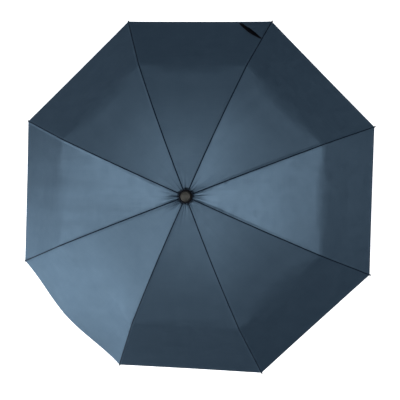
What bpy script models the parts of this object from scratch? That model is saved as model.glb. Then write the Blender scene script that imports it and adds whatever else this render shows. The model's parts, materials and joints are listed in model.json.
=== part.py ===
"""A three-fold umbrella, open, held upright by its grip. Metres, +Z up.

The shaft's axis is the Z axis and the grip's lower end is at the origin. Every rib is drawn in
its own plane: x along the member, y to its side, z up from its middle line.
"""

import math

import bmesh
import bpy
from mathutils import Matrix, Vector

MM = 0.001

# --- canopy and frame ---------------------------------------------------------------------
RIB_COUNT = 8
FIRST_RIB_DEG = 22.5
RIB_STEP_DEG = 360 / RIB_COUNT
NOTCH_HEIGHT = 545 * MM
NOTCH_PIVOT_RADIUS = 10.5 * MM

INNER_LENGTH = 168 * MM
MIDDLE_LENGTH = 166.5 * MM
TAIL_LENGTH = 190.5 * MM
INNER_SLOPE_DEG = -3.0
MIDDLE_SLOPE_DEG = -15.5
TAIL_SLOPE_DEG = -40.0
ELBOW_LIFT = 2.2 * MM
KNEE_DROP = 2.0 * MM
EYE_RADIUS = 0.9 * MM

CRANK_LENGTH = 12 * MM
CRANK_DEG = 210.0
STRETCHER_ON_INNER = 83.5 * MM
STRETCHER_SLOPE_DEG = 24.5
LINK_ON_STRETCHER = 9.85 * MM

# --- widths of the members, side to side, kept in lanes that never meet ---------------------
CHANNEL_HALF = 1.6 * MM
CHANNEL_INSIDE_HALF = 1.1 * MM
TONGUE_HALF = 0.8 * MM
MIDDLE_CHANNEL_HALF = 1.5 * MM
MIDDLE_INSIDE_HALF = 1.0 * MM
STRETCHER_LANE = (1.9 * MM, 2.7 * MM)
LINK_LANE = (3.0 * MM, 3.7 * MM)
INNER_HALF_HEIGHT = 1.4 * MM
MIDDLE_HALF_HEIGHT = 1.2 * MM
TAIL_HALF_HEIGHT = 0.9 * MM
STRETCHER_HALF_HEIGHT = 1.2 * MM
LINK_HALF_HEIGHT = 0.8 * MM
SHEET_METAL = 0.5 * MM

# --- cloth ----------------------------------------------------------------------------------
CLOTH = 0.8 * MM
CLOTH_START_RADIUS = 7.2 * MM
CLOTH_FLAT_RADIUS = 15 * MM
CLOTH_AT_NOTCH = 3.0 * MM
CLOTH_OVER_ELBOW = 4.0 * MM
CLOTH_OVER_KNEE = 1.9 * MM
CLOTH_OVER_TIP = 1.4 * MM
HEM_BEFORE_TIP = 4 * MM
SEAM_GAP = 0.25 * MM
STRAP_GAP = 0.5 * MM

# --- shaft ------------------------------------------------------------------------------------
UPPER_TUBE = (5.5 * MM, 4.9 * MM)
MIDDLE_TUBE = (4.5 * MM, 3.9 * MM)
LOWER_TUBE = (3.5 * MM, 2.9 * MM)
UPPER_TUBE_BOTTOM = NOTCH_HEIGHT - 195 * MM
TUBE_STROKE = 135 * MM
TUBE_OVERLAP = 30 * MM
GRIP_TOP = 78 * MM

TURN_SEGMENTS = 32


def material(name, colour, roughness, metallic=0.0):
    made = bpy.data.materials.new(name)
    made.use_nodes = True
    shader = made.node_tree.nodes["Principled BSDF"]
    shader.inputs["Base Color"].default_value = (*colour, 1.0)
    shader.inputs["Roughness"].default_value = roughness
    shader.inputs["Metallic"].default_value = metallic
    return made


def direction(degrees):
    return Vector((math.cos(math.radians(degrees)), 0, math.sin(math.radians(degrees))))


def normal(degrees):
    return direction(degrees + 90)


def mesh_from(bm, name):
    bmesh.ops.recalc_face_normals(bm, faces=bm.faces)
    mesh = bpy.data.meshes.new(name)
    bm.to_mesh(mesh)
    bm.free()
    return mesh


def place(name, mesh, finish, matrix=None, parent=None):
    made = bpy.data.objects.new(name, mesh)
    bpy.context.collection.objects.link(made)
    if not mesh.materials:
        mesh.materials.append(finish)
    if matrix is not None:
        made.matrix_world = matrix
    made.parent = parent
    return made


def prism(outline, y_low, y_high, name="prism"):
    """A flat outline of (x, z) points, made solid from y_low to y_high."""
    bm = bmesh.new()
    near = [bm.verts.new((x, y_low, z)) for x, z in outline]
    far = [bm.verts.new((x, y_high, z)) for x, z in outline]
    bm.faces.new(near)
    bm.faces.new(list(reversed(far)))
    for i in range(len(outline)):
        j = (i + 1) % len(outline)
        bm.faces.new((near[i], far[i], far[j], near[j]))
    return mesh_from(bm, name)


def turned(outline, name, segments=TURN_SEGMENTS):
    """A closed outline of (radius, z) points spun round the Z axis. Radius 0 makes a pole."""
    bm = bmesh.new()
    rings = []
    for radius, z in outline:
        if radius == 0:
            rings.append([bm.verts.new((0, 0, z))] * segments)
            continue
        ring = []
        for i in range(segments):
            angle = 2 * math.pi * i / segments
            ring.append(bm.verts.new((radius * math.cos(angle), radius * math.sin(angle), z)))
        rings.append(ring)
    for a in range(len(rings)):
        low, high = rings[a], rings[(a + 1) % len(rings)]
        for i in range(segments):
            j = (i + 1) % segments
            corners = list(dict.fromkeys((low[i], low[j], high[j], high[i])))
            if len(corners) > 2:
                bm.faces.new(corners)
    return mesh_from(bm, name)


def combine(base, other, operation):
    """The mesh of base after one Boolean with other."""
    holder = bpy.data.objects.new("holder", base)
    tool = bpy.data.objects.new("tool", other)
    bpy.context.collection.objects.link(holder)
    bpy.context.collection.objects.link(tool)
    step = holder.modifiers.new("combine", "BOOLEAN")
    step.operation = operation
    step.object = tool
    graph = bpy.context.evaluated_depsgraph_get()
    result = bpy.data.meshes.new_from_object(holder.evaluated_get(graph))
    bpy.data.objects.remove(holder)
    bpy.data.objects.remove(tool)
    return result


def cut(base, *tools):
    for tool in tools:
        base = combine(base, tool, "DIFFERENCE")
    return base


def join(base, *tools):
    for tool in tools:
        base = combine(base, tool, "UNION")
    return base


def box(x_low, x_high, y_low, y_high, z_low, z_high):
    corners = [(x_low, z_low), (x_high, z_low), (x_high, z_high), (x_low, z_high)]
    return prism(corners, y_low, y_high)


def arc(centre, radius, start_deg, end_deg, steps):
    points = []
    for i in range(steps + 1):
        angle = math.radians(start_deg + (end_deg - start_deg) * i / steps)
        points.append((centre[0] + radius * math.cos(angle), centre[1] + radius * math.sin(angle)))
    return points


def bar(start, end, half, steps=4):
    """Outline of a bar with round ends, from start to end."""
    angle = math.degrees(math.atan2(end[1] - start[1], end[0] - start[0]))
    far = arc(end, half, angle - 90, angle + 90, steps)
    near = arc(start, half, angle + 90, angle + 270, steps)
    return far + near


# --- where the frame's joints are, in a rib's plane ------------------------------------------
def frame_points():
    notch = Vector((NOTCH_PIVOT_RADIUS, 0, NOTCH_HEIGHT))
    inner_end = notch + direction(INNER_SLOPE_DEG) * INNER_LENGTH
    elbow = inner_end + normal(INNER_SLOPE_DEG) * ELBOW_LIFT
    middle_start = elbow - normal(MIDDLE_SLOPE_DEG) * ELBOW_LIFT
    middle_end = middle_start + direction(MIDDLE_SLOPE_DEG) * MIDDLE_LENGTH
    knee = middle_end - normal(MIDDLE_SLOPE_DEG) * KNEE_DROP
    tail_start = knee + normal(TAIL_SLOPE_DEG) * KNEE_DROP
    on_inner = notch + direction(INNER_SLOPE_DEG) * STRETCHER_ON_INNER
    reach = (on_inner.x - NOTCH_PIVOT_RADIUS) / math.cos(math.radians(STRETCHER_SLOPE_DEG))
    on_runner = on_inner - direction(STRETCHER_SLOPE_DEG) * reach
    on_stretcher = on_inner - direction(STRETCHER_SLOPE_DEG) * LINK_ON_STRETCHER
    crank_end = elbow + direction(CRANK_DEG) * CRANK_LENGTH
    return {
        "notch": notch,
        "inner_end": inner_end,
        "elbow": elbow,
        "middle_start": middle_start,
        "middle_end": middle_end,
        "knee": knee,
        "tail_start": tail_start,
        "on_inner": on_inner,
        "on_runner": on_runner,
        "on_stretcher": on_stretcher,
        "crank_end": crank_end,
        "stretcher_length": reach,
    }


POINTS = frame_points()


def rib_plane(number):
    return Matrix.Rotation(math.radians(FIRST_RIB_DEG + RIB_STEP_DEG * number), 4, "Z")


def along(point, slope_deg):
    """The place of a member: at point in the rib's plane, its x axis on the slope."""
    return Matrix.Translation(point) @ Matrix.Rotation(-math.radians(slope_deg), 4, "Y")


# --- frame members -----------------------------------------------------------------------------
def inner_rib_mesh():
    half = INNER_HALF_HEIGHT
    ear = (INNER_LENGTH, ELBOW_LIFT)
    ear_lead = 4.5 * MM
    web_end = INNER_LENGTH - 6 * MM
    root = 3 * MM
    outline = [(-half, -0.8 * MM), (-0.8 * MM, -half), (INNER_LENGTH - ear_lead, -half)]
    outline += arc(ear, EYE_RADIUS, -60, 120, 5)
    outline += [(INNER_LENGTH - ear_lead, half), (-0.8 * MM, half), (-half, 0.8 * MM)]
    body = prism(outline, -CHANNEL_HALF, CHANNEL_HALF)
    inside = CHANNEL_INSIDE_HALF
    trough = box(root, web_end + MM, -inside, inside, -2 * half, half - SHEET_METAL)
    mouth = box(web_end, INNER_LENGTH + 2 * EYE_RADIUS, -inside, inside, -2 * half, 4 * half)
    return cut(body, trough, mouth)


def middle_rib_mesh():
    half = MIDDLE_HALF_HEIGHT
    elbow = (0, ELBOW_LIFT)
    knee = (MIDDLE_LENGTH, -KNEE_DROP)
    crank_angle = CRANK_DEG - MIDDLE_SLOPE_DEG
    crank = Vector((0, 0, ELBOW_LIFT)) + direction(crank_angle) * CRANK_LENGTH
    neck = 5 * MM
    arm = bar((crank.x, crank.z), elbow, EYE_RADIUS)
    outline = [(0, half), (0, -half), (MIDDLE_LENGTH - neck, -half)]
    outline += arc(knee, EYE_RADIUS, -120, 30, 5)
    outline += [(MIDDLE_LENGTH + EYE_RADIUS, 0), (MIDDLE_LENGTH - MM, half)]
    tongue = prism(outline, -TONGUE_HALF, TONGUE_HALF)
    crank_arm = prism(arm, -TONGUE_HALF + 0.05 * MM, TONGUE_HALF - 0.05 * MM)
    heel = [
        (-EYE_RADIUS, ELBOW_LIFT),
        (0.2 * MM, -half + 0.1 * MM),
        (neck, half - 0.1 * MM),
        (EYE_RADIUS, ELBOW_LIFT),
    ]
    web = prism(heel, -TONGUE_HALF + 0.1 * MM, TONGUE_HALF - 0.1 * MM)
    start, end = 9 * MM, MIDDLE_LENGTH - 11 * MM
    side, skin = MIDDLE_CHANNEL_HALF, half - 0.05 * MM
    wide = box(start, end, -side, side, -skin, skin)
    inside = MIDDLE_INSIDE_HALF
    trough = box(start + 2 * MM, end - 2 * MM, -inside, inside, -2 * half, half - SHEET_METAL)
    return cut(join(tongue, crank_arm, web, wide), trough)


def tail_rib_mesh():
    half = TAIL_HALF_HEIGHT
    tip_half = 0.6 * MM
    bead = 1.3 * MM
    fork_end = 4.6 * MM
    fork = arc((0, -KNEE_DROP), EYE_RADIUS, 150, 300, 5)
    fork += [(8 * MM, -half), (8 * MM, half), (0.5 * MM, half)]
    plates = prism(fork, -CHANNEL_HALF, CHANNEL_HALF)
    gap = box(-3 * MM, fork_end, -CHANNEL_INSIDE_HALF, CHANNEL_INSIDE_HALF, -5 * MM, 3 * MM)
    rod_half = half - 0.05 * MM
    rod = [(6 * MM, rod_half), (6 * MM, -rod_half), (TAIL_LENGTH, -tip_half), (TAIL_LENGTH, tip_half)]
    shank = prism(rod, -TONGUE_HALF, TONGUE_HALF)
    waist = [(0.75 * bead, -0.6 * bead), (bead, 0.1 * bead), (0.7 * bead, 0.8 * bead)]
    tip = turned([(0, -bead), *waist, (0, bead)], "tip", 10)
    tip.transform(Matrix.Translation((TAIL_LENGTH, 0, 0)) @ Matrix.Rotation(math.pi / 2, 4, "Y"))
    return join(cut(plates, gap), shank, tip)


def stretcher_mesh():
    outline = bar((0, 0), (POINTS["stretcher_length"], 0), STRETCHER_HALF_HEIGHT)
    return prism(outline, *STRETCHER_LANE)


def link_mesh():
    length = (POINTS["crank_end"] - POINTS["on_stretcher"]).length
    return prism(bar((0, 0), (length, 0), LINK_HALF_HEIGHT), *LINK_LANE)


def frame_members(steel, black_steel):
    """Every member's origin is put on the hinge it turns on."""
    reach = POINTS["crank_end"] - POINTS["on_stretcher"]
    link_slope = math.degrees(math.atan2(reach.z, reach.x))
    members = [
        ("inner_rib", inner_rib_mesh(), "notch", INNER_SLOPE_DEG, 0, steel),
        ("middle_rib", middle_rib_mesh(), "elbow", MIDDLE_SLOPE_DEG, ELBOW_LIFT, steel),
        ("tail_rib", tail_rib_mesh(), "knee", TAIL_SLOPE_DEG, -KNEE_DROP, black_steel),
        ("stretcher", stretcher_mesh(), "on_runner", STRETCHER_SLOPE_DEG, 0, steel),
        ("link_rod", link_mesh(), "on_stretcher", link_slope, 0, black_steel),
    ]
    for name, mesh, hinge, slope, hinge_above_line, finish in members:
        mesh.transform(Matrix.Translation((0, 0, -hinge_above_line)))
        for number in range(RIB_COUNT):
            turn = rib_plane(number) @ along(POINTS[hinge], slope)
            place(f"{name}_{number + 1}", mesh, finish, turn)


# --- canopy ---------------------------------------------------------------------------------------
def cloth_line():
    """Underside of the cloth over a rib, as (radius, z) from the crown to the hem."""
    elbow = POINTS["inner_end"] + normal(INNER_SLOPE_DEG) * CLOTH_OVER_ELBOW
    knee = POINTS["middle_end"] + normal((MIDDLE_SLOPE_DEG + TAIL_SLOPE_DEG) / 2) * CLOTH_OVER_KNEE
    hem_place = POINTS["tail_start"] + direction(TAIL_SLOPE_DEG) * (TAIL_LENGTH - HEM_BEFORE_TIP)
    hem = hem_place + normal(TAIL_SLOPE_DEG) * CLOTH_OVER_TIP
    crown = NOTCH_HEIGHT + CLOTH_AT_NOTCH
    flat = [(CLOTH_START_RADIUS, crown), (CLOTH_FLAT_RADIUS, crown)]
    return flat + [(p.x, p.z) for p in (elbow, knee, hem)]


def panel_mesh():
    """One gore between two ribs: flat across, bent over the elbow and the knee."""
    half_angle = math.radians(RIB_STEP_DEG / 2)
    line = cloth_line()
    bm = bmesh.new()
    rows = []
    for radius, z in line:
        x = radius * math.cos(half_angle)
        y = radius * math.sin(half_angle) - SEAM_GAP / math.cos(half_angle)
        low = [bm.verts.new((x, side * y, z)) for side in (-1, 1)]
        high = [bm.verts.new((x, side * y, z + CLOTH)) for side in (-1, 1)]
        rows.append((low[0], low[1], high[1], high[0]))
    for a, b in zip(rows, rows[1:]):
        for i in range(4):
            j = (i + 1) % 4
            bm.faces.new((a[i], b[i], b[j], a[j]))
    bm.faces.new(rows[0])
    bm.faces.new(tuple(reversed(rows[-1])))
    return mesh_from(bm, "panel")


def strap_mesh():
    """The folded tie strap: a flap on the outer part of a panel, drawn in the panel's own frame."""
    half_angle = math.radians(RIB_STEP_DEG / 2)
    (knee_radius, knee_z), (hem_radius, hem_z) = cloth_line()[-2:]
    knee_x, hem_x = knee_radius * math.cos(half_angle), hem_radius * math.cos(half_angle)
    fall = (hem_z - knee_z) / (hem_x - knee_x)
    corners = [(1, 6), (1, 76), (14, 68), (76, 13), (62, 1)]
    bm = bmesh.new()
    low, high = [], []
    for beside_rib, above_hem in corners:
        x = hem_x - above_hem * MM * math.cos(math.atan(fall))
        y = -x * math.tan(half_angle) + (beside_rib + 1) * MM
        z = hem_z + fall * (x - hem_x) + CLOTH + STRAP_GAP
        low.append(bm.verts.new((x, y, z)))
        high.append(bm.verts.new((x, y, z + CLOTH)))
    bm.faces.new(low)
    bm.faces.new(list(reversed(high)))
    for i in range(len(corners)):
        j = (i + 1) % len(corners)
        bm.faces.new((low[i], high[i], high[j], low[j]))
    return mesh_from(bm, "strap")


def canopy(cloth):
    mesh = panel_mesh()
    for number in range(RIB_COUNT):
        turn = Matrix.Rotation(math.radians(RIB_STEP_DEG * number), 4, "Z")
        place(f"canopy_panel_{number + 1}", mesh, cloth, turn)
    place("tie_strap", strap_mesh(), cloth, Matrix.Rotation(math.radians(2 * RIB_STEP_DEG), 4, "Z"))


# --- crown ----------------------------------------------------------------------------------------
def slotted(base, slot_low, slot_high, inner_radius, z_low, z_high):
    """A turned piece with one slot for each rib, open to the outside."""
    outer = 30 * MM
    for number in range(RIB_COUNT):
        tool = box(inner_radius, outer, slot_low, slot_high, z_low, z_high)
        tool.transform(rib_plane(number))
        base = cut(base, tool)
    return base


def crown(plastic, taupe, dark):
    top = NOTCH_HEIGHT
    bore = UPPER_TUBE[0] + 0.3 * MM
    ring = [
        (bore, top - 5 * MM),
        (12 * MM, top - 5 * MM),
        (12.4 * MM, top + 1.6 * MM),
        (11.6 * MM, top + 2.4 * MM),
        (bore, top + 2.4 * MM),
    ]
    side = CHANNEL_HALF + 0.4 * MM
    notch = slotted(turned(ring, "notch"), -side, side, 7.4 * MM, top - 6 * MM, top + 3 * MM)
    place("top_notch", notch, plastic)

    seat = top + CLOTH_AT_NOTCH + CLOTH + 0.35 * MM
    spigot = UPPER_TUBE[1] - 0.4 * MM
    hole = spigot + 0.4 * MM
    washer = [
        (hole, seat),
        (15.6 * MM, seat),
        (15.9 * MM, seat + 0.5 * MM),
        (15 * MM, seat + 1.2 * MM),
        (hole, seat + 1.2 * MM),
    ]
    place("cap_washer", turned(washer, "washer"), dark)

    under = seat + 1.5 * MM
    cap = [
        (0, top - 9 * MM),
        (spigot, top - 9 * MM),
        (spigot, under),
        (11.7 * MM, under),
        (11.8 * MM, under + 1.2 * MM),
        (11.5 * MM, under + 3.2 * MM),
        (10.5 * MM, under + 4.6 * MM),
        (9.2 * MM, under + 5.2 * MM),
        (0, under + 5.2 * MM),
    ]
    place("ferrule_cap", turned(cap, "cap"), taupe)


# --- shaft, runner and grip --------------------------------------------------------------------------
def tube(name, radii, z_low, z_high, finish):
    outer, inner = radii
    mesh = turned([(inner, z_low), (outer, z_low), (outer, z_high), (inner, z_high)], name)
    place(name, mesh, finish)


def shaft(chrome):
    tube("upper_tube", UPPER_TUBE, UPPER_TUBE_BOTTOM, NOTCH_HEIGHT + 2 * MM, chrome)
    middle_top = UPPER_TUBE_BOTTOM + TUBE_OVERLAP
    middle_bottom = GRIP_TOP + 1.5 * MM + TUBE_STROKE
    tube("middle_tube", MIDDLE_TUBE, middle_bottom, middle_top, chrome)
    tube("lower_tube", LOWER_TUBE, 12 * MM, middle_bottom + TUBE_OVERLAP, chrome)


def runner(plastic, accent):
    pivot = POINTS["on_runner"].z
    bore = UPPER_TUBE[0] + 0.35 * MM
    outline = [
        (bore, pivot - 17 * MM),
        (9.6 * MM, pivot - 17 * MM),
        (10.4 * MM, pivot - 16 * MM),
        (10.4 * MM, pivot - 7 * MM),
        (12.4 * MM, pivot - 4.5 * MM),
        (12.4 * MM, pivot + 2.2 * MM),
        (11.6 * MM, pivot + 3 * MM),
        (bore, pivot + 3 * MM),
    ]
    lane_low, lane_high = STRETCHER_LANE
    play = 0.35 * MM
    slot_low, slot_high = lane_low - play, lane_high + play
    body = slotted(turned(outline, "runner"), slot_low, slot_high, 8.6 * MM, pivot - 2 * MM, pivot + 4 * MM)
    low, high = pivot - 15 * MM, pivot - 8 * MM
    pocket = box(-14 * MM, -6.9 * MM, -3.4 * MM, 3.4 * MM, low, high)
    place("runner", cut(body, pocket), plastic)
    back, face, dome = 0, -2.4 * MM, -3.2 * MM
    reach = (high - low) / 2 - 0.4 * MM
    flat = reach - 1.6 * MM
    outline = [(back, -reach), (face, -reach), (dome, -flat), (dome, flat), (face, reach), (back, reach)]
    seat = Matrix.Translation((-9 * MM, 0, (low + high) / 2))
    place("runner_button", prism(outline, -3 * MM, 3 * MM, "button"), accent, seat)


def grip(rubber, plastic, dark):
    seat = 5 * MM
    bore = LOWER_TUBE[0] + 0.3 * MM
    body = [
        (bore, seat + 0.3 * MM),
        (15 * MM, seat + 0.3 * MM),
        (15.6 * MM, seat + 8 * MM),
        (15.2 * MM, 24 * MM),
        (14.2 * MM, 42 * MM),
        (14 * MM, 56 * MM),
        (14.4 * MM, 66 * MM),
        (14 * MM, 70 * MM),
        (12.6 * MM, 71.7 * MM),
        (bore, 71.7 * MM),
    ]
    place("grip", turned(body, "grip"), rubber)
    collar = [
        (bore, 72 * MM),
        (12.4 * MM, 72 * MM),
        (12.2 * MM, 75 * MM),
        (10.5 * MM, GRIP_TOP - 0.8 * MM),
        (9.6 * MM, GRIP_TOP),
        (bore, GRIP_TOP),
    ]
    place("grip_collar", turned(collar, "collar"), plastic)
    cap = [(0, 0), (11 * MM, 0), (13.6 * MM, 0.8 * MM), (14.8 * MM, 3 * MM), (15 * MM, seat), (0, seat)]
    place("grip_end_cap", turned(cap, "end_cap"), dark)


def main():
    for leftover in list(bpy.data.objects):
        bpy.data.objects.remove(leftover)
    steel = material("rib_steel", (0.32, 0.33, 0.35), 0.35, 1.0)
    black_steel = material("black_steel", (0.03, 0.03, 0.035), 0.45, 0.6)
    chrome = material("shaft_steel", (0.55, 0.56, 0.58), 0.25, 1.0)
    cloth = material("navy_cloth", (0.05, 0.085, 0.135), 0.55)
    taupe = material("cap_taupe", (0.055, 0.052, 0.045), 0.45, 0.3)
    plastic = material("black_plastic", (0.02, 0.02, 0.022), 0.4)
    dark = material("dark_plastic", (0.012, 0.012, 0.014), 0.5)
    rubber = material("grip_rubber", (0.02, 0.02, 0.022), 0.7)
    accent = material("button_grey", (0.12, 0.12, 0.125), 0.45)

    frame_members(steel, black_steel)
    canopy(cloth)
    crown(plastic, taupe, dark)
    shaft(chrome)
    runner(plastic, accent)
    grip(rubber, plastic, dark)


main()
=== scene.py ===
"""Looks of a three-fold umbrella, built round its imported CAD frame. Metres, +Z up, shaft on the Z axis."""

import json
import math

import bpy
import numpy as np
from mathutils import Matrix, Quaternion, Vector, noise


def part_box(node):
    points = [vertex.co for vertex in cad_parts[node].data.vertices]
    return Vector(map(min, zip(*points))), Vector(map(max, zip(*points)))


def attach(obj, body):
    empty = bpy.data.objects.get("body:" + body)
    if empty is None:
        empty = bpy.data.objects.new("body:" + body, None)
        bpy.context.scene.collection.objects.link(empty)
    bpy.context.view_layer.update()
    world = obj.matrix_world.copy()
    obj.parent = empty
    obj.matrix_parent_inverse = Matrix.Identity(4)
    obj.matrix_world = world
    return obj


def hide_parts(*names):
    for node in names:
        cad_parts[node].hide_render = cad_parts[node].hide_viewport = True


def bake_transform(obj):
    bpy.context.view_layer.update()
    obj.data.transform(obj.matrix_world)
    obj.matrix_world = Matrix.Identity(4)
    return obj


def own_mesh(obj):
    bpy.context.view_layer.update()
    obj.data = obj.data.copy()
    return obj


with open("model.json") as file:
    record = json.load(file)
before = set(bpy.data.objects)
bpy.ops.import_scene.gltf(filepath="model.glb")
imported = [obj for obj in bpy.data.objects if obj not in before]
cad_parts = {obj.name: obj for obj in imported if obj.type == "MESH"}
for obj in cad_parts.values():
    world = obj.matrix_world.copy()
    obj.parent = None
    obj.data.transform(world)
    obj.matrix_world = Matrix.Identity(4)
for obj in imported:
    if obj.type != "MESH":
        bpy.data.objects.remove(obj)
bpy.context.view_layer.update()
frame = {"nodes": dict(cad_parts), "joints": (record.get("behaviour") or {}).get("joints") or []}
NODES = frame["nodes"]
JOINTS = {joint["name"]: joint for joint in frame["joints"]}

MM = 0.001
RIBS = range(1, 9)
STEP = math.radians(45)
HALF_STEP = STEP / 2


# --- camera ------------------------------------------------------------------------------------
CAMERA_ABOVE_RIM = 1.597
CAMERA_X, CAMERA_Y = 0.181, 0.0166
CAMERA_TURN_DEG = (-0.785, 5.972, 1.595)
LENS_MM, SENSOR_MM = 56.3, 36.0


def make_camera():
    rim = min(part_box(f"canopy_panel_{number}")[0][2] for number in RIBS)
    data = bpy.data.cameras.new("camera")
    data.lens, data.sensor_width = LENS_MM, SENSOR_MM
    data.clip_start, data.clip_end = 0.05, 50
    camera = bpy.data.objects.new("camera", data)
    bpy.context.scene.collection.objects.link(camera)
    camera.location = (CAMERA_X, CAMERA_Y, rim + CAMERA_ABOVE_RIM)
    camera.rotation_euler = [math.radians(turn) for turn in CAMERA_TURN_DEG]
    bpy.context.scene.camera = camera


# --- materials ------------------------------------------------------------------------------------
class Nodes:
    """A short way to write a node material."""

    def __init__(self, name, colour, roughness, metallic=0.0):
        self.material = bpy.data.materials.new(name)
        self.material.use_nodes = True
        self.tree = self.material.node_tree
        self.shader = self.tree.nodes["Principled BSDF"]
        self.shader.inputs["Base Color"].default_value = (*colour, 1)
        self.shader.inputs["Roughness"].default_value = roughness
        self.shader.inputs["Metallic"].default_value = metallic

    def add(self, kind, **settings):
        node = self.tree.nodes.new(kind)
        for key, value in settings.items():
            setattr(node, key, value)
        return node

    def link(self, source, target):
        self.tree.links.new(source, target)

    def feed(self, socket, value):
        if hasattr(value, "links"):
            self.link(value, socket)
        else:
            socket.default_value = value

    def maths(self, operation, *values, clamp=False):
        node = self.add("ShaderNodeMath", operation=operation, use_clamp=clamp)
        for i, value in enumerate(values):
            self.feed(node.inputs[i], value)
        return node.outputs[0]

    def noise(self, vector, scale, detail=2.0, roughness=0.5):
        node = self.add("ShaderNodeTexNoise")
        self.link(vector, node.inputs["Vector"])
        node.inputs["Scale"].default_value = scale
        node.inputs["Detail"].default_value = detail
        node.inputs["Roughness"].default_value = roughness
        return node.outputs["Fac"]

    def stretch(self, vector, scale):
        node = self.add("ShaderNodeMapping")
        self.link(vector, node.inputs["Vector"])
        node.inputs["Scale"].default_value = scale
        return node.outputs["Vector"]

    def range(self, value, low, high, to_low, to_high):
        node = self.add("ShaderNodeMapRange")
        self.link(value, node.inputs["Value"])
        for key, number in zip(("From Min", "From Max", "To Min", "To Max"), (low, high, to_low, to_high)):
            node.inputs[key].default_value = number
        return node.outputs["Result"]

    def mix(self, factor, first, second):
        node = self.add("ShaderNodeMix", data_type="RGBA")
        self.feed(node.inputs[0], factor)
        for socket, value in ((node.inputs[6], first), (node.inputs[7], second)):
            self.feed(socket, value if hasattr(value, "links") else (*value, 1))
        return node.outputs[2]

    def bump(self, height, distance, strength=1.0, normal=None):
        node = self.add("ShaderNodeBump")
        self.link(height, node.inputs["Height"])
        node.inputs["Distance"].default_value = distance
        node.inputs["Strength"].default_value = strength
        if normal is not None:
            self.link(normal, node.inputs["Normal"])
        return node.outputs["Normal"]

    def uv_pair(self, name):
        split = self.add("ShaderNodeSeparateXYZ")
        self.link(self.add("ShaderNodeUVMap", uv_map=name).outputs["UV"], split.inputs[0])
        return split.outputs[0], split.outputs[1]

    def place(self):
        return self.add("ShaderNodeTexCoord").outputs["Object"]


NAVY = (0.094, 0.142, 0.192)
NAVY_DEEP = (0.078, 0.121, 0.168)
# Near-black for the line along each seam: partly the seam itself, partly painted shade in its groove.
SEAM_LINE_AND_SHADE = (0.004, 0.008, 0.018)
NAVY_THREAD = (0.10, 0.16, 0.22)
CLOTH_SATIN = 0.85
# Painted shade for the gathered cloth round the crown.
CROWN_SHADE = (0.004, 0.006, 0.011)
THREAD_PITCH = 0.9 * MM
STITCH_PITCH = 2.8 * MM


def band(nodes, value, low, high):
    """1 where value lies between low and high."""
    above = nodes.maths("GREATER_THAN", value, low)
    below = nodes.maths("LESS_THAN", value, high)
    return nodes.maths("MULTIPLY", above, below)


def dashes(nodes, along):
    """1 on a stitch and 0 in the hole between two stitches."""
    turns = nodes.maths("MULTIPLY", along, 1 / STITCH_PITCH)
    share = nodes.maths("FRACT", turns)
    return nodes.maths("LESS_THAN", share, 0.72)


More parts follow.
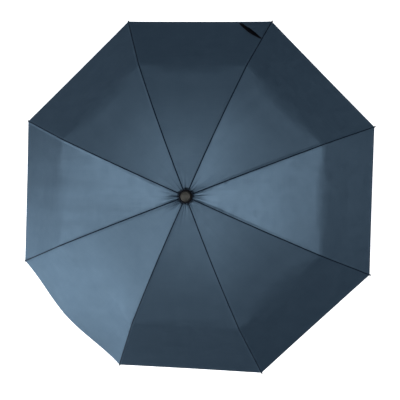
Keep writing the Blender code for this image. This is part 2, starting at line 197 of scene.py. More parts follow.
def cloth_material():
    """Plain-weave polyester with a satin face.

    UV maps are in metres: Seam is (from the crown, from the seam), Hem is (from the hem, along the
    hem) and Weave runs with the threads of each panel.
    """
    nodes = Nodes("navy_cloth", NAVY, 0.42)
    shader = nodes.shader
    shader.inputs["Specular Tint"].default_value = (0.35, 0.42, 0.5, 1)
    shader.inputs["Sheen Weight"].default_value = 0.03
    shader.inputs["Sheen Roughness"].default_value = 0.38
    shader.inputs["Sheen Tint"].default_value = (0.62, 0.76, 0.95, 1)
    shader.inputs["Specular IOR Level"].default_value = 0.15

    shader.inputs["Anisotropic"].default_value = 0.8
    tangent = nodes.add("ShaderNodeTangent", direction_type="UV_MAP", uv_map="Weave")
    nodes.link(tangent.outputs[0], shader.inputs["Tangent"])

    along, across = nodes.uv_pair("Seam")
    from_hem, along_hem = nodes.uv_pair("Hem")
    warp_way, weft_way = nodes.uv_pair("Weave")
    threads = nodes.add("ShaderNodeUVMap", uv_map="Weave").outputs["UV"]
    slub_along = nodes.noise(nodes.stretch(threads, (14, 900, 1)), 1.0, 2.0)
    slub_across = nodes.noise(nodes.stretch(threads, (900, 14, 1)), 1.0, 2.0)
    slubs = nodes.maths("ADD", slub_along, slub_across)
    mottle = nodes.noise(nodes.place(), 22.0, 4.0, 0.6)
    slub_part = nodes.maths("MULTIPLY", slubs, 0.35)
    mottle_part = nodes.maths("MULTIPLY", mottle, 0.65)
    shade = nodes.maths("ADD", slub_part, mottle_part)
    colour = nodes.mix(nodes.range(shade, 0.4, 0.9, 0, 1), NAVY_DEEP, NAVY)

    # Dark line along each seam, with no satin sheen: partly the seam itself, partly painted shade in the
    # seam's groove.
    seam = nodes.range(across, 0.8 * MM, 1.9 * MM, 1, 0)
    colour = nodes.mix(seam, colour, SEAM_LINE_AND_SHADE)
    # Near-black ring with a ragged edge round the crown, with no satin sheen: painted shade in the gathered
    # cloth under and round the cap.
    ragged = nodes.noise(nodes.place(), 130.0, 2.0)
    from_crown = nodes.maths("ADD", along, nodes.maths("MULTIPLY", ragged, 16 * MM))
    crown = nodes.range(from_crown, 27 * MM, 31 * MM, 1, 0)
    colour = nodes.mix(crown, colour, CROWN_SHADE)
    dull = nodes.maths("MAXIMUM", seam, crown)
    nodes.link(nodes.range(dull, 0, 1, CLOTH_SATIN, 0), shader.inputs["Metallic"])
    near_row = band(nodes, across, 1.7 * MM, 2.2 * MM)
    far_row = band(nodes, across, 4.0 * MM, 4.5 * MM)
    seam_rows = nodes.maths("ADD", near_row, far_row)
    seam_stitch = nodes.maths("MULTIPLY", seam_rows, dashes(nodes, along))
    hem_row = band(nodes, from_hem, 6.0 * MM, 6.6 * MM)
    hem_stitch = nodes.maths("MULTIPLY", hem_row, dashes(nodes, along_hem))
    stitch = nodes.maths("MAXIMUM", seam_stitch, hem_stitch)
    hem_fold = nodes.range(from_hem, 0.0, 1.0 * MM, 0.6, 0)
    colour = nodes.mix(hem_fold, colour, NAVY_THREAD)
    colour = nodes.mix(nodes.maths("MULTIPLY", stitch, 0.8), colour, NAVY_THREAD)
    nodes.link(colour, shader.inputs["Base Color"])

    rough = nodes.range(nodes.noise(nodes.place(), 60.0, 3.0), 0.3, 0.7, 0.43, 0.49)
    nodes.link(rough, shader.inputs["Roughness"])

    warp = nodes.maths("SINE", nodes.maths("MULTIPLY", weft_way, 2 * math.pi / THREAD_PITCH))
    weft = nodes.maths("SINE", nodes.maths("MULTIPLY", warp_way, 2 * math.pi / THREAD_PITCH))
    weave = nodes.maths("ADD", nodes.maths("MULTIPLY", warp, weft), slubs)
    normal = nodes.bump(weave, 0.02 * MM, 0.5)
    normal = nodes.bump(stitch, 0.25 * MM, 0.8, normal)
    nodes.link(normal, shader.inputs["Normal"])
    return nodes.material


def metal(name, colour, roughness, grain, metallic=1.0):
    """Drawn or turned metal: a fine grain, stretched where grain's scale is small, and faint smudges."""
    nodes = Nodes(name, colour, roughness, metallic)
    place = nodes.place()
    lines = nodes.noise(nodes.stretch(place, grain), 1.0, 3.0, 0.6)
    smudge = nodes.noise(place, 90.0, 4.0, 0.6)
    grain_rough = nodes.range(lines, 0.3, 0.7, roughness * 0.8, roughness * 1.25)
    smudge_rough = nodes.range(smudge, 0.4, 0.7, 0, 0.08)
    rough = nodes.maths("ADD", grain_rough, smudge_rough)
    nodes.link(rough, nodes.shader.inputs["Roughness"])
    dull = tuple(c * 0.72 for c in colour)
    tinted = nodes.mix(nodes.range(smudge, 0.35, 0.75, 0, 1), colour, dull)
    nodes.link(tinted, nodes.shader.inputs["Base Color"])
    nodes.link(nodes.bump(lines, 0.02 * MM, 0.4), nodes.shader.inputs["Normal"])
    return nodes.material


def plastic(name, colour, roughness, grain=1400.0, depth=0.03, shine=0.3):
    """Moulded plastic or rubber: a fine grained skin with faint handling marks."""
    nodes = Nodes(name, colour, roughness)
    nodes.shader.inputs["Specular IOR Level"].default_value = shine
    place = nodes.place()
    skin = nodes.noise(place, grain, 2.0, 0.6)
    marks = nodes.noise(place, 70.0, 5.0, 0.65)
    rough = nodes.range(marks, 0.35, 0.7, roughness * 0.85, min(1.0, roughness * 1.2))
    nodes.link(rough, nodes.shader.inputs["Roughness"])
    lighter = tuple(c * 1.5 + 0.004 for c in colour)
    tinted = nodes.mix(nodes.range(marks, 0.45, 0.8, 0, 0.7), colour, lighter)
    nodes.link(tinted, nodes.shader.inputs["Base Color"])
    nodes.link(nodes.bump(skin, depth * MM, 0.6), nodes.shader.inputs["Normal"])
    return nodes.material


CLOTH = cloth_material()
STEEL = metal("rib_steel", (0.46, 0.47, 0.49), 0.33, (600, 600, 600))
BLACK_STEEL = metal("rib_black", (0.022, 0.023, 0.026), 0.4, (500, 500, 500), metallic=0.5)
CHROME = metal("shaft_steel", (0.62, 0.62, 0.62), 0.28, (1800, 1800, 12), metallic=0.5)
TAUPE = metal("cap_taupe", (0.050, 0.047, 0.040), 0.45, (300, 300, 2500), metallic=0.55)
BLACK = plastic("black_plastic", (0.016, 0.016, 0.018), 0.42)
# Dark plastic for the washer and the end cap, and also the near-black sheet of painted shadow under the
# strap's open edge.
DARK = plastic("dark_plastic", (0.005, 0.005, 0.007), 0.6, shine=0.06)
RUBBER = plastic("grip_rubber", (0.020, 0.020, 0.022), 0.68, grain=900.0, depth=0.06)
RIVET = metal("rivet", (0.38, 0.38, 0.39), 0.3, (400, 400, 400))
GREY = plastic("button_grey", (0.11, 0.11, 0.115), 0.45)


# --- mesh helpers ---------------------------------------------------------------------------------
def new_object(name, vertices, faces, material, smooth=True):
    mesh = bpy.data.meshes.new(name)
    mesh.from_pydata([tuple(v) for v in vertices], [], faces)
    mesh.update()
    mesh.materials.append(material)
    mesh.polygons.foreach_set("use_smooth", [smooth] * len(mesh.polygons))
    made = bpy.data.objects.new(name, mesh)
    bpy.context.scene.collection.objects.link(made)
    return made


def set_uv(mesh, name, values):
    """values is one (u, v) for each vertex."""
    layer = mesh.uv_layers.new(name=name)
    loops = np.zeros(len(mesh.loops), np.int64)
    mesh.loops.foreach_get("vertex_index", loops)
    layer.data.foreach_set("uv", np.asarray(values, float)[loops].astype(np.float32).ravel())


def grid_normals(grid):
    """A normal for each point of a (rows, columns, 3) grid."""
    down = np.gradient(grid, axis=0)
    over = np.gradient(grid, axis=1)
    normal = np.cross(down, over)
    return normal / np.maximum(np.linalg.norm(normal, axis=2, keepdims=True), 1e-12)


UV_NAMES = ("Seam", "Hem", "Weave")


def split_rows(rows):
    """Rows of (point, maps) pairs as one grid of points and one grid for each UV map."""
    grid = np.array([[point for point, _ in row] for row in rows])
    maps = [np.array([[uvs[i] for _, uvs in row] for row in rows]) for i in range(len(UV_NAMES))]
    return grid, maps


def upward(normals):
    """The same normals on the side of the sheet that faces up."""
    return -normals if normals[..., 2].mean() < 0 else normals


def shell(name, grid, normals, thickness, material, maps):
    """A thin closed sheet whose upper side is grid, shaded with the normals it is given."""
    if np.cross(grid[-1, -1] - grid[0, -1], grid[-1, -1] - grid[-1, 0])[2] < 0:
        grid, normals = grid[:, ::-1], normals[:, ::-1]
        maps = [uv[:, ::-1] for uv in maps]
    rows, columns, _ = grid.shape
    count = rows * columns
    index = np.arange(count).reshape(rows, columns)
    a, b = index[:-1, :-1].ravel(), index[1:, :-1].ravel()
    c, d = index[1:, 1:].ravel(), index[:-1, 1:].ravel()
    top = np.stack([a, b, c, d], axis=1)
    bottom = np.stack([d, c, b, a], axis=1) + count
    rim = np.array([*index[0, :], *index[1:, -1], *index[-1, -2::-1], *index[-2:0:-1, 0]])
    after = np.roll(rim, -1)
    wall = np.stack([rim, after, after + count, rim + count], axis=1)
    faces = np.concatenate([top, bottom, wall]).tolist()
    vertices = np.concatenate([grid.reshape(-1, 3), (grid - normals * thickness).reshape(-1, 3)])
    made = new_object(name, vertices, faces, material)
    mesh = made.data
    for uv_name, uv in zip(UV_NAMES, maps):
        set_uv(mesh, uv_name, np.concatenate([uv.reshape(-1, 2)] * 2))
    flat = normals.reshape(-1, 3)
    above = flat[top].reshape(-1, 3)
    below = -flat[bottom - count].reshape(-1, 3)
    shading = np.concatenate([above, below, np.zeros((wall.size, 3))])
    mesh.polygons.foreach_set("use_smooth", [True] * (2 * len(top)) + [False] * len(wall))
    mesh.normals_split_custom_set([tuple(normal) for normal in shading])
    return made


def lathe(name, outline, material, segments=96, flute=None):
    """Points (radius, z) spun round the Z axis; flute(angle, z) may scale the radius."""
    vertices, faces = [], []
    for radius, z in outline:
        for i in range(segments):
            angle = 2 * math.pi * i / segments
            scale = flute(angle, z) if flute else 1.0
            vertices.append((radius * scale * math.cos(angle), radius * scale * math.sin(angle), z))
    for ring in range(len(outline) - 1):
        for i in range(segments):
            j = (i + 1) % segments
            base = ring * segments
            faces.append((base + i, base + j, base + segments + j, base + segments + i))
    last = (len(outline) - 1) * segments
    faces.append(tuple(reversed(range(segments))))
    faces.append(tuple(range(last, last + segments)))
    return new_object(name, vertices, faces, material)


def soften(target, degrees=35):
    """Smooth shading with sharp edges kept, for a CAD node or a turned piece."""
    mesh = target.data
    mesh.polygons.foreach_set("use_smooth", [True] * len(mesh.polygons))
    mesh.set_sharp_from_angle(angle=math.radians(degrees))


# --- the canopy's cloth -----------------------------------------------------------------------------
def cloth_rows():
    """(radius over a rib, height) of the cloth's upper side at each bend of a CAD panel."""
    rows = {}
    for vertex in NODES["canopy_panel_1"].data.vertices:
        x = round(vertex.co.x, 4)
        rows[x] = max(rows.get(x, -1.0), vertex.co.z)
    return [(x / math.cos(HALF_STEP), z) for x, z in sorted(rows.items())]


CLOTH_THICK = 0.4 * MM
ROWS = cloth_rows()
CROWN_RADIUS, ELBOW_RADIUS, KNEE_RADIUS, HEM_RADIUS = (ROWS[i][0] for i in (0, 2, 3, 4))
LINE_RADII = [radius for radius, _ in ROWS]
LINE_HEIGHTS = [height for _, height in ROWS]
SLOPES = [(b[1] - a[1]) / (b[0] - a[0]) for a, b in zip(ROWS, ROWS[1:])]
TAIL_FALL = math.atan(-SLOPES[3])
HEM_WIDTH = 7.4 * MM
HEM_CURVE = 0.3 * MM
DOME_REACH = 100 * MM
SAG_RADII = (0.012, 0.06, 0.12, 0.18, 0.28, KNEE_RADIUS, 0.41, HEM_RADIUS)
SAG_MM = (0, 0.7, 1.8, 2.8, 2.2, 0.5, 3.0, 1.0)
SOFT_PANEL = 6
SOFT_PANEL_LIFT = 14 * MM
SOFT_PANEL_REACH = 13 * MM
KNEE_ROUND_MM = {1: 20, 2: 26, 3: 30, 4: 30, 5: 24, 6: 90, 7: 26, 8: 40}


def rib_angle(number):
    return STEP * number - HALF_STEP


def panel_number(rib, side):
    """CAD panel 1 lies on the X axis, between ribs 8 and 1."""
    if side < 0:
        return rib
    return rib % 8 + 1


def line_height(radius, knee_round):
    """Height of the cloth over a rib: a smooth dome that clears the elbow, then the bend at the knee."""
    height = float(np.interp(radius, LINE_RADII, LINE_HEIGHTS))
    for row, reach in ((1, 5 * MM), (2, DOME_REACH), (3, knee_round)):
        away = max(0.0, reach - abs(radius - ROWS[row][0]))
        height += (SLOPES[row] - SLOPES[row - 1]) * away**2 / (4 * reach)
    if radius < ELBOW_RADIUS:
        share = (radius - CROWN_RADIUS) / (ELBOW_RADIUS - CROWN_RADIUS)
    else:
        share = (KNEE_RADIUS - radius) / (KNEE_RADIUS - ELBOW_RADIUS)
    lost = (SLOPES[1] - SLOPES[2]) * DOME_REACH / 4
    return height + lost * math.sin(max(0.0, share) * math.pi / 2)


def smooth_noise(x, y, seed):
    return noise.noise(Vector((x, y, seed * 7.31 + 0.5)))


def smooth_step(value, low, high):
    share = min(1.0, max(0.0, (value - low) / (high - low)))
    return share * share * (3 - 2 * share)


def wrinkles(x, y, radius, beside, share, rib, side):
    """Small waves in the cloth, in metres, at one point of a half panel."""
    over = 1 - (1 - share) ** 2
    panel = panel_number(rib, side)
    from_middle = side * (radius * math.sin(HALF_STEP) - beside)
    broad = smooth_noise(x * 5, y * 5, 1) * 1.0 * over
    streaks = smooth_noise(from_middle * 40, radius * 3, panel + 11) * 0.35 * over
    fine = smooth_noise(from_middle * 150, radius * 9, panel + 23) * 0.10
    puckers = smooth_noise(radius * 110, side * beside * 30, rib + 31) * 0.9
    puckers *= math.exp(-beside / 0.016) * (1 - share * share)
    puckers *= 0.35 + math.exp(-((radius - 0.06) / 0.05) ** 2)
    gathers = smooth_noise(math.atan2(y, x) * 9.0, radius * 9, 41) * 2.4
    gathers *= math.exp(-max(0.0, radius - 0.014) / 0.030) * smooth_step(share, 0, 0.3)
    tip_pull = smooth_noise(side * beside * 150, radius * 15, rib + 51) * 0.9
    tip_pull *= smooth_step(radius, HEM_RADIUS - 0.07, HEM_RADIUS) * math.exp(-beside / 0.03)
    tip_pull *= smooth_step(share, 0, 0.05)
    return (broad + streaks + fine + puckers + gathers + tip_pull) * MM


SEAM_STEPS_MM = (0, 0.7, 1.4, 4.7, 5.5, 7.5)
FELLED_MM = (-0.35, 0.45, 0.45, 0.45, 0, 0)
PLAIN_MM = (-0.35, 0.12, 0, 0, 0, 0)
PLAIN_COLUMNS = 22


def seam_squeeze(radius):
    """The seam narrows where the gore does, by the crown."""
    return min(1.0, radius * math.sin(HALF_STEP) / (2.2 * SEAM_STEPS_MM[-1] * MM))


def shares_at(radius):
    """Shares of the way from the rib to the middle of the panel, close together by the seam."""
    near = [step * MM * seam_squeeze(radius) / (radius * math.sin(HALF_STEP)) for step in SEAM_STEPS_MM]
    rest = np.linspace(near[-1], 1, PLAIN_COLUMNS + 1)[1:]
    return [*near, *rest]


def cloth_point(rib, side, radius, beside, share):
    """One point of the upper side of the cloth."""
    angle = rib_angle(rib)
    middle = angle + side * HALF_STEP
    over = 1 - (1 - share) ** 2
    panel = panel_number(rib, side)
    shift = -HEM_CURVE * over * max(0.0, radius - KNEE_RADIUS) / (HEM_RADIUS - KNEE_RADIUS)
    tight = line_height(radius, 7 * MM)
    loose = line_height(radius, KNEE_ROUND_MM[panel] * MM)
    height = tight + (loose - tight) * smooth_step(share, 0, 0.7)
    height -= float(np.interp(radius, SAG_RADII, SAG_MM)) * MM * over
    if panel == SOFT_PANEL:
        billow = smooth_step(radius, KNEE_RADIUS, HEM_RADIUS) * smooth_step(share, 0, 1)
        height += SOFT_PANEL_LIFT * billow
        shift += SOFT_PANEL_REACH * billow
    x = radius * math.cos(angle) - side * beside * math.sin(middle) + shift * math.cos(middle)
    y = radius * math.sin(angle) + side * beside * math.cos(middle) + shift * math.sin(middle)
    height += wrinkles(x, y, radius, beside, share, rib, side)
    squeeze = seam_squeeze(radius)
    seam = FELLED_MM if side > 0 else PLAIN_MM
    height += float(np.interp(beside / squeeze / MM, SEAM_STEPS_MM, seam)) * MM * squeeze
    from_hem = (HEM_RADIUS - radius) / math.cos(TAIL_FALL)
    height += float(np.interp(from_hem, (0, HEM_WIDTH, HEM_WIDTH + MM), (0.4 * MM, 0.4 * MM, 0)))
    along = x * math.cos(middle) + y * math.sin(middle)
    over_middle = y * math.cos(middle) - x * math.sin(middle)
    maps = (radius, beside * math.cos(HALF_STEP)), (from_hem, beside), (along, over_middle)
    return (x, y, height), maps


def square_row(radius, share):
    """A row that starts on the rib at radius and runs square to the rib, as the cloth folds."""
    return radius / (1 - share * math.sin(HALF_STEP) ** 2)


def eased(count, high=0.0):
    """Steps from 0 to 1, closer together by the far end where high is above 0."""
    steps = np.linspace(0, 1, count)
    bend = np.sin(math.pi * steps) / math.pi
    return steps + bend * high * 0.8


CROWN_START = CROWN_RADIUS + 2 * MM
FOLD_CORNERS = 3


def inner_rows(step, share):
    return square_row(CROWN_START + (ELBOW_RADIUS - CROWN_START) * step, share)


def middle_rows(step, share):
    return square_row(ELBOW_RADIUS, share) * (1 - step) + KNEE_RADIUS * step


def corner_rows(corner):
    """One of the wedges between the crease over the knees and the line square to the rib."""

    def rows(step, share):
        part = (corner + step) / FOLD_CORNERS
        return KNEE_RADIUS * (1 - part) + square_row(KNEE_RADIUS, share) * part

    return rows


def outer_rows(step, share):
    return square_row(KNEE_RADIUS, share) * (1 - step) + HEM_RADIUS * step


HEM_ROWS_MM = np.array([8.2, 6.4, 5.6, 2.5, 0.6])
HEM_STEPS = 1 - HEM_ROWS_MM * MM / (HEM_RADIUS - KNEE_RADIUS)
OUTER_STEPS = [*np.linspace(0, 0.925, 22), *HEM_STEPS, 1.0]
SECTIONS = [
    ("inner", "inner_rib", inner_rows, eased(28)),
    ("middle", "middle_rib", middle_rows, eased(30, high=0.9)),
    *[(f"corner_{i + 1}", "tail_rib", corner_rows(i), eased(7)) for i in range(FOLD_CORNERS)],
    ("outer", "tail_rib", outer_rows, OUTER_STEPS),
]


def half_panel(rib, side):
    """Each section of a half panel: its points, their normals and its UV maps."""
    sections = {}
    for name, _, rows_of, steps in SECTIONS:
        rows = []
        for step in steps:
            row = []
            for share in shares_at(rows_of(step, 0)):
                radius = rows_of(step, share)
                row.append(cloth_point(rib, side, radius, share * radius * math.sin(HALF_STEP), share))
            rows.append(row)
        points, maps = split_rows(rows)
        normals = grid_normals(points)
        if name.startswith("corner"):
            normals[:, 0] = normals[:, 1]
        sections[name] = (points, upward(normals), maps)
    join_normals([sections[name][1] for name, *_ in SECTIONS])
    return sections


def join_normals(grids):
    """Give two neighbouring sections the same normals along the line that they share."""
    for before, after in zip(grids, grids[1:]):
        shared = before[-1] + after[0]
        shared /= np.linalg.norm(shared, axis=1, keepdims=True)
        before[-1] = shared
        after[0] = shared


def make_canopy():
    """Eight gores as one surface, cut only where the frame folds it.

    Each strip's flat size and area are measured on the strip as drawn, not taken from a cutting
    pattern, so comparing the strip with them shows nothing.
    """
    halves = {(rib, side): half_panel(rib, side) for rib in RIBS for side in (1, -1)}
    for rib in RIBS:
        for name, *_ in SECTIONS:
            mine, theirs = halves[rib, 1][name][1], halves[rib % 8 + 1, -1][name][1]
            shared = mine[:, -1] + theirs[:, -1]
            shared /= np.linalg.norm(shared, axis=1, keepdims=True)
            mine[:, -1] = shared
            theirs[:, -1] = shared
    for (rib, side), sections in halves.items():
        number = panel_number(rib, side)
        half = "left" if side > 0 else "right"
        for name, body, _, _ in SECTIONS:
            grid, normals, maps = sections[name]
            piece = shell(f"panel_{number}_{name}_{half}", grid, normals, CLOTH_THICK, CLOTH, maps)
            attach(piece, f"{body}_{rib}")
            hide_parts(f"canopy_panel_{number}")
            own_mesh(piece)


PATCH_HALF_WIDTH, PATCH_REACH = 6 * MM, 12 * MM
PATCH_BELOW = 0.35 * MM


def make_knee_patches():
    """A small patch of cloth just under the canopy over each knee of the frame, fixed where it is built."""
    for rib in RIBS:
        rows = []
        for radius in np.linspace(KNEE_RADIUS - PATCH_REACH, KNEE_RADIUS + PATCH_REACH, 17):
            row = []
            for beside in np.linspace(-PATCH_HALF_WIDTH, PATCH_HALF_WIDTH, 9):
                side = 1 if beside >= 0 else -1
                share = abs(beside) / (radius * math.sin(HALF_STEP))
                (x, y, z), maps = cloth_point(rib, side, radius, abs(beside), share)
                row.append(((x, y, z - CLOTH_THICK - PATCH_BELOW), maps))
            rows.append(row)
        grid, maps = split_rows(rows)
        normals = upward(grid_normals(grid))
        patch = shell(f"knee_cloth_{rib}", grid, normals, CLOTH_THICK, CLOTH, maps)
        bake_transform(patch)
        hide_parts(f"canopy_panel_{panel_number(rib, 1)}")


STRAP_RIB = 2
STRAP_TIP, STRAP_ON_SEAM, STRAP_ON_HEM = (1.5, 1.5), (2.5, 75.0), (75.0, 8.0)
STRAP_STEPS = 26
STRAP_OPEN_MM = 8.0


def strap_point(away, turn, lift_share):
    """A point of the folded strap: away runs from its corner to its open edge, turn along that edge."""
    ends = [np.array(corner) * MM for corner in (STRAP_TIP, STRAP_ON_SEAM, STRAP_ON_HEM)]
    edge = ends[1] + (ends[2] - ends[1]) * turn
    edge = edge + np.array([1, 1]) * MM * 3.0 * math.sin(math.pi * turn)
    beside, above_hem = ends[0] + (edge - ends[0]) * away
    radius = HEM_RADIUS - above_hem * math.cos(TAIL_FALL)
    width = radius * math.sin(HALF_STEP)
    place = np.array(cloth_point(STRAP_RIB, 1, radius, beside, beside / width)[0])
    middle = rib_angle(STRAP_RIB) + HALF_STEP
    fall = math.atan(-SLOPES[3] / math.cos(HALF_STEP))
    level = math.sin(fall)
    outward = np.array([math.cos(middle) * level, math.sin(middle) * level, math.cos(fall)])
    standing = STRAP_OPEN_MM * away**1.6 * max(0.0, math.sin(math.pi * turn)) ** 0.8
    crease = smooth_noise(turn * 6, away * 1.2, 71) * 1.6 * away
    lift = 0.7 + lift_share * (0.8 + standing + crease)
    point = place + outward * lift * MM
    open_edge = (1 - away) * 45 * MM
    turned_weave = above_hem, beside
    maps = (0.3, 0.04), (open_edge + 2 * MM, turn * 80 * MM), turned_weave
    return tuple(point), maps


def strap_piece(name, away_low, away_high, lift_share, thickness, material):
    """A part of the folded strap, or the near-black sheet of painted shadow under its open edge, between two
    distances from its corner.
    """
    rows = []
    for away in np.linspace(0, 1, STRAP_STEPS):
        row = []
        for turn in np.linspace(0, 1, STRAP_STEPS):
            row.append(strap_point(away_low + (away_high - away_low) * away, turn, lift_share))
        rows.append(row)
    grid, maps = split_rows(rows)
    piece = shell(name, grid, upward(grid_normals(grid)), thickness, material, maps)
    body = f"tail_rib_{STRAP_RIB}"
    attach(piece, body)
    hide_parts("tie_strap")
    along_rib = Vector(grid[-1, 0] - grid[0, 0]).normalized()
    across = Vector(grid[-1, -1] - grid[0, 0])
    across = (across - along_rib * across.dot(along_rib)).normalized()
    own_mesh(piece)
    return piece, body


def make_strap():
    """The tie strap, folded over its panel's corner, its long edge standing open over a near-black sheet of
    painted shadow.

    The flat sizes are guesses; the areas are measured on the pieces as drawn.
    """
    strap, body = strap_piece("folded_strap", 0.03, 1.0, 1.0, 0.9 * MM, CLOTH)
    # A near-black sheet on the cloth under the strap's open edge: painted shadow in the gap beneath the
    # raised edge.
    shadow_sheet, _ = strap_piece("strap_shadow_sheet", 0.82, 1.07, 0.0, 0.5 * MM, DARK)


# --- small hardware ------------------------------------------------------------------------------------
def joint_spot(name):
    """Place of a hinge, in the shared frame."""
    return Vector(JOINTS[name]["pos_m"])


def far_end(node, start):
    """The middle of the end of a bar that is farthest from start."""
    spots = [vertex.co for vertex in NODES[node].data.vertices]
    reach = max((spot - start).length for spot in spots)
    near = [spot for spot in spots if (spot - start).length > reach - 0.4 * MM]
    return sum(near, Vector()) / len(near)


def turn_to(direction):
    return direction.to_track_quat("Z", "Y").to_matrix().to_4x4()


def dome(radius, height):
    """Outline of a rivet's head."""
    return [(radius, 0), (radius, 0.25 * height), (radius * 0.8, 0.75 * height), (radius * 0.4, height)]


RIB_SIDE, STRETCHER_SIDE = 1.6 * MM, 1.5 * MM


def rivet_head(name, body, spot, axis, side_offset):
    """A domed head on the side of a member; side_offset runs along the axis from the middle plane."""
    head = lathe(name, dome(1.15 * MM, 0.35 * MM), RIVET, segments=16)
    facing = axis if side_offset > 0 else -axis
    head.data.transform(Matrix.Translation(spot + axis * side_offset) @ turn_to(facing))
    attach(head, body)


def tangent(rib):
    angle = rib_angle(rib)
    return Vector((-math.sin(angle), math.cos(angle), 0))


def make_rivets():
    """Heads on the outer sides of the hinges, on the member that carries each pin."""
    for rib in RIBS:
        across = tangent(rib)
        for side, name in ((1, "left"), (-1, "right")):
            spot = joint_spot(f"elbow_hinge_{rib}")
            rivet_head(f"elbow_rivet_{name}_{rib}", f"inner_rib_{rib}", spot, across, side * RIB_SIDE)
            spot = joint_spot(f"knee_hinge_{rib}")
            rivet_head(f"knee_rivet_{name}_{rib}", f"tail_rib_{rib}", spot, across, side * RIB_SIDE)
        spot = joint_spot(f"link_hinge_{rib}")
        rivet_head(f"link_rivet_{rib}", f"stretcher_{rib}", spot, across, STRETCHER_SIDE)


TIP_OUTLINE_MM = (
    (0.9, -8.0), (1.5, -7.6), (1.7, -4.0), (2.0, -1.2),
    (2.1, 0.2), (1.8, 1.0), (1.1, 1.5), (0.4, 1.6),
)
TIP_FALL = math.radians(40)


def make_tips():
    """A moulded tip on the end of each rib, where the cloth's corner is sewn on."""
    for rib in RIBS:
        end = far_end(f"tail_rib_{rib}", joint_spot(f"knee_hinge_{rib}"))
        outward = Vector((math.cos(rib_angle(rib)), math.sin(rib_angle(rib)), 0))
        along = outward * math.cos(TIP_FALL) - Vector((0, 0, 1)) * math.sin(TIP_FALL)
        tip = lathe(f"rib_tip_{rib}", [(r * MM, z * MM) for r, z in TIP_OUTLINE_MM], BLACK, segments=24)
        tip.data.transform(Matrix.Translation(end - along * 1.0 * MM) @ turn_to(along))
        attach(tip, f"tail_rib_{rib}")


# Outlines are (radius, height above the piece's own base) in millimetres.
CAP_MM = (
    (4.5, 0), (4.5, 14.65), (11.55, 14.65), (11.72, 14.8), (11.8, 15.8), (11.75, 16.8),
    (11.6, 17.7), (11.25, 18.5), (10.75, 19.15), (10.2, 19.55), (9.6, 19.78), (9.1, 19.85),
    (8.5, 19.85), (8.3, 19.72), (8.1, 19.72), (7.9, 19.85), (0.5, 19.85),
)
WASHER_MM = (
    (4.9, 0), (15.5, 0), (15.8, 0.25), (15.9, 0.5),
    (15.7, 0.85), (15.3, 1.1), (14.8, 1.2), (4.9, 1.2),
)
END_CAP_MM = (
    (0.5, 0), (10.6, 0), (11.6, 0.12), (12.8, 0.5), (13.8, 1.15),
    (14.5, 2.1), (14.85, 3.1), (15.0, 4.2), (15.0, 5.0), (0.5, 5.0),
)
COLLAR_MM = (
    (3.8, 0), (12.2, 0), (12.4, 0.3), (12.35, 2.0), (12.1, 3.2),
    (11.3, 4.6), (10.4, 5.4), (9.8, 5.85), (9.4, 6.0), (3.8, 6.0),
)
GRIP_MM = (
    (3.8, 0), (14.6, 0), (15.0, 0.4), (15.3, 2.5), (15.55, 5.5), (15.6, 8.5), (15.5, 13),
    (15.25, 18), (14.9, 24), (14.55, 30), (14.25, 36), (14.1, 42), (14.0, 48), (14.05, 53),
    (14.2, 57), (14.35, 60), (14.3, 62.5), (14.05, 64.5), (13.6, 65.7), (12.6, 66.4), (3.8, 66.4),
)
FLUTES = 18
FLUTE_DEPTH = 0.035


def make_turned():
    """Turned and moulded pieces redrawn with their small rounds, inside the boxes of the CAD nodes."""
    pieces = (
        ("ferrule_cap", CAP_MM, TAUPE, "cap_taupe", "crown"),
        ("cap_washer", WASHER_MM, DARK, "dark_plastic", "crown"),
        ("grip_end_cap", END_CAP_MM, DARK, "dark_plastic", "handle"),
        ("grip_collar", COLLAR_MM, BLACK, "black_plastic", "handle"),
        ("grip", GRIP_MM, RUBBER, "grip_rubber", "handle"),
    )
    for node, outline, material, slot, body in pieces:
        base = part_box(node)[0][2]
        points = [(radius * MM, base + height * MM) for radius, height in outline]
        flute = grip_flute if node == "grip" else None
        piece = lathe(f"{node}_detail", points, material, segments=144 if flute else 96, flute=flute)
        soften(piece, 40)
        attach(piece, body)
        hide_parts(node)


GRIP_BOTTOM, GRIP_TOP = (corner[2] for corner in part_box("grip"))


def grip_flute(angle, z):
    """Shallow grooves down the grip, fading out at both ends and on the bore."""
    share = (z - GRIP_BOTTOM) / (GRIP_TOP - GRIP_BOTTOM)
    fade = smooth_step(share, 0.10, 0.22) * (1 - smooth_step(share, 0.78, 0.90))
    groove = max(0.0, math.cos(angle * FLUTES)) ** 2
    return 1 - FLUTE_DEPTH * groove * fade


# --- light and floor -----------------------------------------------------------------------------------
def area_light(name, place, target, size, power, turn_deg=0.0):
    """A soft box at place facing target; size is its width and height, turned about its own axis."""
    data = bpy.data.lights.new(name, "AREA")
    data.shape = "RECTANGLE"
    data.size, data.size_y = size
    data.energy = power
    lamp = bpy.data.objects.new(name, data)
    bpy.context.scene.collection.objects.link(lamp)
    lamp.location = place
    lamp.rotation_mode = "QUATERNION"
    facing = (Vector(target) - Vector(place)).to_track_quat("-Z", "Y")
    lamp.rotation_quaternion = facing @ Quaternion((0, 0, 1), math.radians(turn_deg))


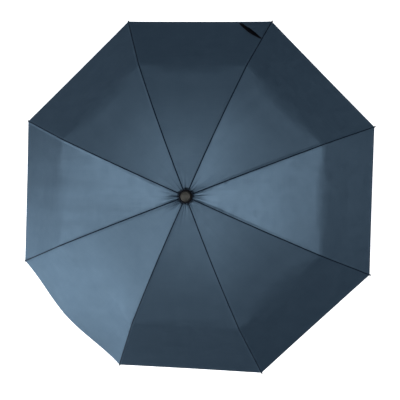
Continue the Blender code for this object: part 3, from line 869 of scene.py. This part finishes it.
def make_stage():
    scene = bpy.context.scene
    scene.view_settings.view_transform = "Standard"
    world = bpy.data.worlds.new("studio")
    world.use_nodes = True
    world.node_tree.nodes["Background"].inputs["Color"].default_value = (0.50, 0.74, 1.0, 1)
    world.node_tree.nodes["Background"].inputs["Strength"].default_value = 0.13
    scene.world = world
    area_light("overhead_strip", (0, 0, 3.0), (0, 0, 0.5), (5.6, 1.1), 54, 7)
    area_light("key_left", (-2.22, -1.4, 1.1), (0, 0, 0.45), (3.2, 2.4), 76)

    floor_size, floor_drop = 12, 2 * MM
    floor = Nodes("floor", (0.9, 0.9, 0.9), 0.8)
    floor.shader.inputs["Emission Color"].default_value = (1, 1, 1, 1)
    floor.shader.inputs["Emission Strength"].default_value = 1.0
    sides = ((-1, -1), (1, -1), (1, 1), (-1, 1))
    corners = [(x * floor_size, y * floor_size, -floor_drop) for x, y in sides]
    ground = new_object("floor", corners, [(0, 1, 2, 3)], floor.material, smooth=False)
    ground.visible_glossy = False

    around, wall_height = 48, 9
    wall_radius = floor_size * 0.98
    turns = [2 * math.pi * i / around for i in range(around)]
    ring = [(wall_radius * math.cos(turn), wall_radius * math.sin(turn)) for turn in turns]
    vertices = [(x, y, z) for z in (-2 * floor_drop, wall_height) for x, y in ring]
    faces = [(i, (i + 1) % around, around + (i + 1) % around, around + i) for i in range(around)]
    backdrop = new_object("backdrop", vertices, faces, floor.material)
    backdrop.visible_glossy = False
    backdrop.visible_diffuse = False
    backdrop.visible_shadow = False


# --- the CAD nodes that stay --------------------------------------------------------------------------
FINISHES = {
    "inner_rib": STEEL,
    "middle_rib": STEEL,
    "tail_rib": BLACK_STEEL,
    "stretcher": STEEL,
    "link_rod": BLACK_STEEL,
    "upper_tube": CHROME,
    "middle_tube": CHROME,
    "lower_tube": CHROME,
    "top_notch": BLACK,
    "runner_button": GREY,
    "runner": BLACK,
    "ferrule_cap": TAUPE,
    "cap_washer": DARK,
    "grip_end_cap": DARK,
    "grip_collar": BLACK,
    "grip": RUBBER,
    "tie_strap": CLOTH,
}


def finish_cad():
    """Give each CAD node but the canopy's panels the finish with the longest name that fits its own."""
    for name, node in NODES.items():
        fitting = [kind for kind in FINISHES if name.startswith(kind)]
        if fitting:
            node.data.materials.clear()
            node.data.materials.append(FINISHES[max(fitting, key=len)])
            soften(node)


make_camera()
make_stage()
finish_cad()
make_canopy()
make_knee_patches()
make_strap()
make_tips()
make_rivets()
make_turned()
